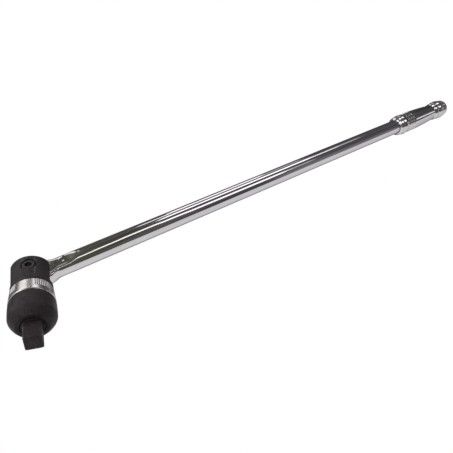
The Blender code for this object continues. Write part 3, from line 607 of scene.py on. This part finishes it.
def make_ring():
    """Cone whose pads of teeth run from its top edge down to a plain band, and the finger."""
    edge = 0.45
    heights = [RING_TOP + 0.03, RING_TOP + 0.15, RING_TOP + edge]
    heights += [16.9 + 0.9 * step for step in range(7)] + [22.6, 22.85, 23.1, KNURL_END, 23.6, 25.0, 26.4]
    heights += [RING_BOTTOM - edge, RING_BOTTOM - 0.15, RING_BOTTOM - 0.03]
    around = ring_angles()
    rows = []
    for angle, cut in around + around[:1]:
        row = [(RING_TOP, RING_BORE + 0.3), (RING_TOP, ring_outside(RING_TOP) - edge)]
        for along in heights:
            run_out = min(max((KNURL_END - along) / 0.7, 0.0), 1.0)
            near = min(along - RING_TOP, RING_BOTTOM - along)
            round_off = edge - sqrt(max(edge ** 2 - max(edge - near, 0.0) ** 2, 0.0))
            row.append((along, ring_outside(along) - max(round_off, KNURL_DEPTH * cut * run_out)))
        row += [(RING_BOTTOM, ring_outside(RING_BOTTOM) - edge), (RING_BOTTOM, RING_BORE + 0.3)]
        row += [(RING_BOTTOM - 0.3, RING_BORE), (RING_TOP + 0.3, RING_BORE)]
        rows.append([(*polar(radius * MM, angle), along * MM) for along, radius in row])
    ring = thing("reversing_ring_knurled", skin(rows, "ring", sharp=radians(50.0)), HEAD)
    middle = -0.5 * RING_TRAVEL
    loop = [(20.0, 11.0), (20.0, 14.2), (27.0, 14.2), (27.0, 13.3), (41.5, 13.3), (41.5, 11.0)]
    bm = bmesh.new()
    steps = 10
    swept = []
    for step in range(steps + 1):
        angle = middle - FINGER_HALF + 2.0 * FINGER_HALF * step / steps
        swept.append([bm.verts.new((*polar(radius * MM, angle), along * MM)) for along, radius in loop])
    for row, after in zip(swept, swept[1:]):
        for here in range(len(loop)):
            follow = (here + 1) % len(loop)
            bm.faces.new((row[here], row[follow], after[follow], after[here]))
    bm.faces.new(swept[0])
    bm.faces.new(swept[-1])
    carve(ring, finished(bm, "finger"), "UNION")
    for turn in (0.0, RING_TRAVEL):
        seat = lathe("seat", [(13.0 * MM, 1.55 * MM), (14.75 * MM, 1.0 * MM)], 32)
        facing = Matrix.Rotation(pi - turn, 4, "Z") @ ACROSS
        carve(ring, seat, place=Matrix.Translation((0, 0, DETENT_AT * MM)) @ facing)
    way = sector(12.7 * MM, 14.1 * MM, pi - RING_TRAVEL, pi, 10)
    carve(ring, prism("way", way, 20.6 * MM, 23.4 * MM))
    ring.data.shade_smooth()
    ring.data.set_sharp_from_angle(angle=radians(45.0))
    return dress(ring, CHROME_RING, "ring", "ring_chrome", "reversing_ring")


# ---------------------------------------------------------------- housing and drive

# Housing; lengths are in millimetres
HOUSING_R = 17.25
BOWL_START = 40.8
HOUSING_END = 49.0
BOWL_END_R = 11.9


def bowl(along):
    """Radius of the housing where it closes in round the neck."""
    part = (along - BOWL_START) / (HOUSING_END - BOWL_START)
    return BOWL_END_R + (HOUSING_R - BOWL_END_R) * (1.0 - part ** 1.55) ** 0.9


def make_housing():
    outline = [(28.2, 13.7), (28.2, 16.45), (28.3, 16.65), (28.5, 16.78)]
    outline += [(29.5, 16.92), (31.5, 17.1), (34.0, 17.2), (37.0, HOUSING_R), (BOWL_START - 0.15, HOUSING_R)]
    steps = 26
    for step in range(1, steps):
        along = BOWL_START + (HOUSING_END - BOWL_START) * sin(radians(90.0 * step / steps))
        outline.append((along, bowl(along)))
    lip = [(HOUSING_END, BOWL_END_R - 0.05), (HOUSING_END, 9.45), (48.92, 9.28), (48.75, 9.2), (48.45, 9.2)]
    seal_seat = [(48.45, 10.1), (45.2, 10.1), (45.2, 12.4)]
    chamber = [(42.6, 14.5), (31.9, 14.5), (31.9, 13.7)]
    snap_groove = [(31.0, 13.7), (31.0, 14.6), (29.4, 14.6), (29.4, 13.7)]
    outline += lip + seal_seat + chamber + snap_groove
    outline = [(along * MM, radius * MM) for along, radius in outline]
    turned = lathe("housing", outline, 192, closed=True, sharp=radians(28.0))
    housing = thing("ratchet_housing", turned, HEAD)
    return dress(housing, BLACK_HOUSING, "head", "housing_black", "lower_housing")


TEETH = 24
GEAR_TIP_R = 8.8 * MM
GEAR_ROOT_R = 7.6 * MM
TIP_HALF = radians(2.0)
ROOT_HALF = radians(4.9)
SOCKET_BALL_AT = 57.5         # millimetres
NECK_END = 49.3 * MM
SQUARE = 12.7 * MM


def square_outline(half, edge, steps=5):
    """A square with rounded-off chamfers on its four corners."""
    points = []
    for corner in range(4):
        turn = corner * 0.5 * pi
        for step in range(steps + 1):
            angle = radians(90.0 * step / steps)
            reach = half - edge
            x, y = reach + edge * cos(angle), reach + edge * sin(angle)
            points.append((x * cos(turn) - y * sin(turn), x * sin(turn) + y * cos(turn)))
    return points


def make_spindle():
    half = 0.5 * SQUARE
    lead = 0.8 * MM
    rows = []
    for along, inset in ((NECK_END - 1.5 * MM, 0.0), (DRIVE_LENGTH - lead - 0.3 * MM, 0.0),
                         (DRIVE_LENGTH - lead, 0.06 * MM), (DRIVE_LENGTH - 0.12 * MM, lead * 0.8),
                         (DRIVE_LENGTH, lead)):
        rows.append([(x, y, along) for x, y in square_outline(half - inset, 1.05 * MM - 0.3 * inset)])
    drive = skin(rows, "square", ((0, 0, NECK_END - 1.5 * MM), (0, 0, DRIVE_LENGTH)), radians(24.0))
    journal = [(25.0, 1.0), (25.0, 4.7), (25.3, 5.0), (36.0, 5.0), (36.0, 6.5), (43.0, 6.5)]
    flange = [(43.0, 11.0), (44.2, 11.0)]
    neck = [(44.2, 8.4), (48.85, 8.4), (49.15, 8.28), (49.3, 8.0), (49.3, 1.0)]
    outline = journal + flange + neck
    body = lathe("spindle", [(along * MM, radius * MM) for along, radius in outline], 128)
    spindle = thing("spindle_and_square", body, HEAD)
    pitch = 2.0 * pi / TEETH
    gear = []
    for tooth in range(TEETH):
        middle = (tooth + 0.5) * pitch
        gear += [polar(GEAR_ROOT_R, middle - ROOT_HALF), polar(GEAR_TIP_R, middle - TIP_HALF)]
        gear += [polar(GEAR_TIP_R, middle + TIP_HALF), polar(GEAR_ROOT_R, middle + ROOT_HALF)]
    carve(spindle, prism("gear", gear, 35.0 * MM, 43.5 * MM), "UNION")
    carve(spindle, drive, "UNION")
    hole = lathe("hole", [(-9.0 * MM, 2.05 * MM), (-0.4 * MM, 2.05 * MM)], 48)
    carve(spindle, hole, place=Matrix.Translation((0, 0, SOCKET_BALL_AT * MM)) @ ACROSS)
    spindle.data.shade_smooth()
    spindle.data.set_sharp_from_angle(angle=radians(26.0))
    return dress(spindle, BLACK_DRIVE, "spindle", "drive_black", "drive_spindle")


def make_balls():
    """The ball that holds a socket on, and the ball that holds the ring at either setting."""
    for name, size, place, body, node in (
        ("socket_ball_polished", 1.9, (-5.5, 0.0, SOCKET_BALL_AT), "socket_ball", "socket_ball"),
        ("detent_ball_polished", 1.2, (-12.75, 0.0, DETENT_AT), "ring_ball", "ring_detent_ball"),
    ):
        outline = []
        for angle in range(4, 180, 4):
            along, radius = -size * cos(radians(angle)), size * sin(radians(angle))
            outline.append((along * MM, radius * MM))
        where = HEAD @ Matrix.Translation(Vector(place) * MM)
        dress(thing(name, lathe(name, outline, 48), where), BRIGHT_STEEL, body, "ball_steel", node)


def make_neck_seal():
    inner, outer = 8.4 * MM + 0.25 * MM, 9.9 * MM
    washer("neck_seal_ring", inner, outer, 47.3 * MM, 0.8 * MM, NITRILE, "seal_rubber", "neck_seal", HEAD)


def repaint_inner_nodes():
    """The pieces inside the head keep their CAD shapes and take these materials."""
    for node, material in (
        ("ring_detent_spring", SPRING_STEEL), ("housing_snap_ring", SPRING_STEEL),
        ("forward_pawl", HARD_STEEL), ("reverse_pawl", HARD_STEEL),
        ("forward_pawl_pin", BRIGHT_STEEL), ("reverse_pawl_pin", BRIGHT_STEEL),
        ("forward_pawl_spring", SPRING_STEEL), ("reverse_pawl_spring", SPRING_STEEL),
        ("upper_thrust_washer", BRONZE), ("lower_thrust_washer", BRONZE), ("drive_bush", BRONZE),
        ("socket_ball_spring", SPRING_STEEL),
    ):
        shown = NODES[node].data
        shown.materials.clear()
        shown.materials.append(material)


# ---------------------------------------------------------------- studio

def ray_split(tree, seen, shone, mirrored):
    """One closure for what the camera sees, one that lights matt surfaces, one that gloss reflects."""
    path = tree.nodes.new("ShaderNodeLightPath")
    soft = tree.nodes.new("ShaderNodeMixShader")
    tree.links.new(path.outputs["Is Diffuse Ray"], soft.inputs[0])
    tree.links.new(mirrored, soft.inputs[1])
    tree.links.new(shone, soft.inputs[2])
    final = tree.nodes.new("ShaderNodeMixShader")
    tree.links.new(path.outputs["Is Camera Ray"], final.inputs[0])
    tree.links.new(soft.outputs[0], final.inputs[1])
    tree.links.new(seen, final.inputs[2])
    return final.outputs[0]


def glow(tree, kind, color, strength):
    made = tree.nodes.new(kind)
    if hasattr(color, "is_output"):
        tree.links.new(color, made.inputs["Color"])
    else:
        made.inputs["Color"].default_value = (*color, 1.0)
    made.inputs["Strength"].default_value = strength
    return made.outputs[0]


def gradient(tree, source, low, high, stops):
    span = tree.nodes.new("ShaderNodeMapRange")
    span.inputs["From Min"].default_value, span.inputs["From Max"].default_value = low, high
    tree.links.new(source, span.inputs["Value"])
    ramp = tree.nodes.new("ShaderNodeValToRGB")
    tree.links.new(span.outputs["Result"], ramp.inputs["Fac"])
    elements = ramp.color_ramp.elements
    elements[0].color, elements[-1].color = (*stops[0][1], 1.0), (*stops[-1][1], 1.0)
    for place, color in stops[1:-1]:
        elements.new((place - low) / (high - low)).color = (*color, 1.0)
    return ramp.outputs["Color"]


def studio_world():
    """A dim, uneven room, brighter on one side; where the floor ends the camera sees white."""
    world = bpy.data.worlds.new("studio")
    bpy.context.scene.world = world
    world.use_nodes = True
    tree = world.node_tree
    tree.nodes.remove(tree.nodes["Background"])
    split = tree.nodes.new("ShaderNodeSeparateXYZ")
    tree.links.new(tree.nodes.new("ShaderNodeTexCoord").outputs["Generated"], split.inputs[0])
    room = gradient(tree, split.outputs["X"], -1.0, 1.0, (
        (-1.0, (0.2, 0.19, 0.2)), (0.0, (0.13, 0.125, 0.11)), (0.3, (0.093, 0.09, 0.07)),
        (0.5, (0.088, 0.08, 0.09)), (0.7, (0.08, 0.077, 0.085)), (1.0, (0.075, 0.075, 0.08)),
    ))
    shapes = tree.nodes.new("ShaderNodeTexNoise")
    shapes.inputs["Scale"].default_value = 4.5
    uneven = tree.nodes.new("ShaderNodeMapRange")
    uneven.inputs["From Min"].default_value, uneven.inputs["From Max"].default_value = 0.38, 0.62
    uneven.inputs["To Min"].default_value, uneven.inputs["To Max"].default_value = 0.75, 1.7
    tree.links.new(shapes.outputs["Fac"], uneven.inputs["Value"])
    kind = "ShaderNodeBackground"
    mirrored = glow(tree, kind, room, 1.0)
    tree.links.new(uneven.outputs["Result"], mirrored.node.inputs["Strength"])
    seen = glow(tree, kind, (1.0, 1.0, 1.0), 1.1)
    shone = glow(tree, kind, (1.0, 0.96, 1.0), 0.2)
    both = ray_split(tree, seen, shone, mirrored)
    tree.links.new(both, tree.nodes["World Output"].inputs["Surface"])


FLOOR_HALF = 6.0
FLOOR_LEVEL = -17.6 * MM


def studio_floor():
    """White paper just under the tool, with a painted shadow behind the bar that only reflections see, and
    clear from below.
    """
    mesh = bpy.data.meshes.new("floor")
    corners = [(x * FLOOR_HALF, y * FLOOR_HALF, FLOOR_LEVEL) for x, y in ((-1, -1), (1, -1), (1, 1), (-1, 1))]
    mesh.from_pydata(corners, [], [(0, 1, 2, 3)])
    floor = thing("floor", mesh)
    material = bpy.data.materials.new("floor_paper")
    material.use_nodes = True
    tree = material.node_tree
    tree.nodes.remove(tree.nodes["Principled BSDF"])
    split = tree.nodes.new("ShaderNodeSeparateXYZ")
    tree.links.new(tree.nodes.new("ShaderNodeNewGeometry").outputs["Position"], split.inputs[0])
    # Painted shadow: reflections see the floor turn dark from just behind the bar, where its shadow would
    # fall.
    painted_shadow = gradient(tree, split.outputs["Y"], 0.0, 0.2, (
        (0.0, (0.93, 0.91, 0.94)), (0.048, (0.98, 0.96, 0.98)), (0.054, (0.62, 0.61, 0.64)),
        (0.06, (0.22, 0.22, 0.23)), (0.2, (0.25, 0.25, 0.26)),
    ))
    kind = "ShaderNodeEmission"
    seen = glow(tree, kind, (1.0, 1.0, 1.0), 1.0)
    shone = glow(tree, kind, (1.0, 0.94, 0.95), 0.14)
    paper = ray_split(tree, seen, shone, glow(tree, kind, painted_shadow, 1.0))
    below = tree.nodes.new("ShaderNodeMixShader")
    tree.links.new(tree.nodes.new("ShaderNodeNewGeometry").outputs["Backfacing"], below.inputs[0])
    tree.links.new(paper, below.inputs[1])
    tree.links.new(tree.nodes.new("ShaderNodeBsdfTransparent").outputs[0], below.inputs[2])
    tree.links.new(below.outputs[0], tree.nodes["Material Output"].inputs["Surface"])
    mesh.materials.append(material)


STUDIO_R = 8.0
STUDIO_AIM = Vector((0.25, 0.05, 0.0))


def toward(x, lift):
    """Unit direction with the given share along the bar; lift turns from the back horizon over the top."""
    rest = sqrt(1.0 - x * x)
    return Vector((x, rest * cos(radians(lift)), rest * sin(radians(lift))))


def soft_box(name, x_range, lift_range, radiance, color=(1.0, 1.0, 1.0), matt_only=False):
    """A rectangular light that fills a range of directions round the object."""
    lift = 0.5 * (lift_range[0] + lift_range[1])
    first, last = (STUDIO_R * toward(x, lift) for x in x_range)
    middle = 0.5 * (first + last)
    along = (last - first).normalized()
    facing = (-middle).normalized()
    side = along.cross(facing).normalized()
    facing = side.cross(along)
    data = bpy.data.lights.new(name, "AREA")
    data.shape = "RECTANGLE"
    data.size = (last - first).length
    data.size_y = 2.0 * middle.length * sin(radians(0.5 * abs(lift_range[1] - lift_range[0])))
    data.energy = radiance * pi * data.size * data.size_y
    data.color = color
    light = bpy.data.objects.new(name, data)
    bpy.context.scene.collection.objects.link(light)
    light.matrix_world = axes_matrix(along, side, along.cross(side), STUDIO_AIM + middle)
    light.visible_camera = False
    light.visible_glossy = not matt_only
    return light


def studio_lights():
    """Strips and windows for the chrome to mirror, and one fill kept out of reflections."""
    cool = (1.0, 0.97, 1.0)
    soft_box("front_strip", (0.46, 0.635), (113.0, 128.0), 2.0, cool)
    soft_box("front_strip_turn", (0.41, 0.46), (109.0, 123.0), 2.0, cool)
    soft_box("front_strip_bend", (0.33, 0.41), (104.0, 117.0), 1.9, cool)
    soft_box("front_strip_low", (0.28, 0.33), (108.0, 119.0), 1.8, cool)
    soft_box("front_strip_end", (0.14, 0.28), (113.0, 123.0), 1.7, cool)
    soft_box("front_strip_fade", (0.635, 0.68), (114.0, 128.0), 0.45, cool)
    soft_box("top_strip", (0.41, 0.675), (66.0, 79.0), 2.2, cool)
    soft_box("top_strip_fade", (0.675, 0.715), (66.0, 79.0), 1.3, cool)
    soft_box("top_strip_tail", (0.715, 0.745), (62.0, 78.0), 0.5, cool)
    soft_box("back_strip", (0.43, 0.6), (19.0, 39.0), 1.9, cool)
    soft_box("back_strip_start", (0.37, 0.43), (34.0, 46.0), 1.5, cool)
    soft_box("back_strip_fade", (0.6, 0.66), (22.0, 38.0), 0.6, cool)
    soft_box("ceiling", (0.43, 0.68), (40.0, 64.0), 0.16, cool)
    soft_box("top_strip_left", (-0.85, -0.55), (60.0, 80.0), 3.4, cool)
    soft_box("front_strip_left", (-0.85, -0.55), (104.0, 126.0), 3.4, cool)
    soft_box("back_strip_left", (-0.85, -0.55), (14.0, 34.0), 3.0, cool)
    soft_box("left_window", (-0.48, 0.13), (14.0, 40.0), 1.25, (1.0, 0.98, 0.97))
    soft_box("small_window", (0.2, 0.247), (30.0, 41.0), 1.3, cool)
    soft_box("dim_window", (0.17, 0.25), (48.0, 56.0), 0.4, cool)
    soft_box("right_window", (0.82, 0.93), (149.0, 157.0), 1.2, cool)
    soft_box("far_front", (0.62, 0.8), (150.0, 182.0), 0.13, cool)
    soft_box("fill", (-0.6, 0.6), (30.0, 85.0), 1.25, (1.0, 0.96, 1.0), matt_only=True)


def photo_camera():
    data = bpy.data.cameras.new("camera")
    data.sensor_width = 36.0
    data.lens = 42.91
    data.clip_start, data.clip_end = 0.01, 100.0
    camera = bpy.data.objects.new("camera", data)
    bpy.context.scene.collection.objects.link(camera)
    look = Vector((0.51750, 0.58505, -0.62443)).normalized()
    right = Vector((0.77916, -0.62383, 0.06124))
    right = (right - right.dot(look) * look).normalized()
    place = HINGE + Vector((-0.08303, -0.31262, 0.29684))
    camera.matrix_world = axes_matrix(right, right.cross(look), -look, place)
    bpy.context.scene.camera = camera


make_bar()
make_grip()
make_clevis()
make_screw()
make_hinge_washers()
make_ring()
make_housing()
make_spindle()
make_balls()
make_neck_seal()
repaint_inner_nodes()
studio_world()
studio_floor()
studio_lights()
photo_camera()
bpy.context.scene.view_settings.view_transform = "Standard"
